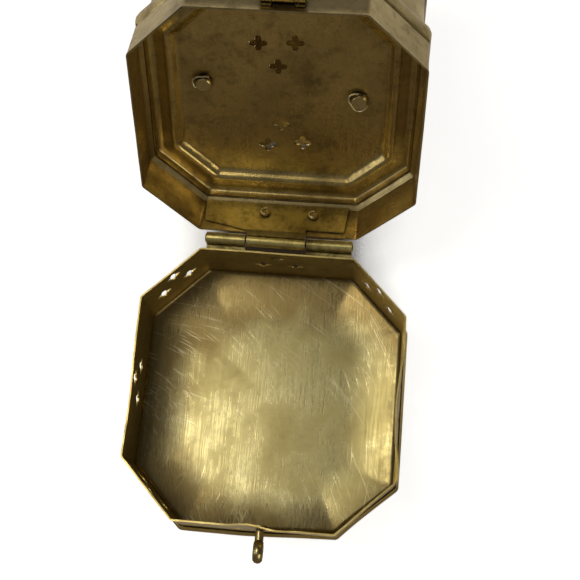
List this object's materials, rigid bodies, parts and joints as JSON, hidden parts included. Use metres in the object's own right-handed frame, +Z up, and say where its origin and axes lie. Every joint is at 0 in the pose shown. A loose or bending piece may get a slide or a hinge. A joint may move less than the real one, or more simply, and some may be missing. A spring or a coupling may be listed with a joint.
{
  "type": "tabernacle box",
  "caption": "Octagonal brass box with a shallow pierced tray, a tall hinged lid with a stepped pierced ceiling, a hasp and staple, and a swinging handle.",
  "frame": {"origin": "centre of the underside of the tray's floor plate", "axes": "+Z up, +Y from the tray's front wall, with the staple, to its back wall, with the hinge, +X to the right seen from the front"},
  "size_m": [0.1344, 0.3083, 0.1668],
  "materials": {
    "sheet_brass": "worn, hand-polished",
    "aged_brass": "aged, dull",
    "bright_brass": "polished"
  },
  "bodies": {
    "base": {"base_floor": "sheet_brass", "base_wall": "sheet_brass", "foot_moulding": "sheet_brass", "staple_eye": "bright_brass", "base_hinge_leaf": "aged_brass", "hinge_pin": "aged_brass"},
    "lid": {"lid_shell": "sheet_brass", "lid_hinge_leaf": "aged_brass", "lid_hinge_rivet_1": "bright_brass", "lid_hinge_rivet_2": "bright_brass", "ceiling_pan": "aged_brass", "lid_top": "sheet_brass", "left_post": "bright_brass", "left_post_washer": "bright_brass", "right_post": "bright_brass", "right_post_washer": "bright_brass", "hasp_mount": "sheet_brass", "hasp_pin": "aged_brass"},
    "hasp": {"hasp_strap": "sheet_brass"},
    "bail": {"handle": "bright_brass"}
  },
  "joints": [
    {"name": "lid_hinge", "type": "hinge", "parent": "base", "child": "lid", "pos_m": [0, 0.0712, 0.0429], "axis": [1, 0, 0], "range_deg": [0, 117.7]},
    {"name": "hasp_hinge", "type": "hinge", "parent": "lid", "child": "hasp", "pos_m": [0.003, 0.14119, 0.16439], "axis": [1, 0, 0], "range_deg": [0, 180]},
    {"name": "handle_swing", "type": "hinge", "parent": "lid", "child": "bail", "pos_m": [-0.00035, 0.20397, 0.05722], "axis": [0.9974, -0.0333, -0.0635], "range_deg": [-33, 158]}
  ]
}
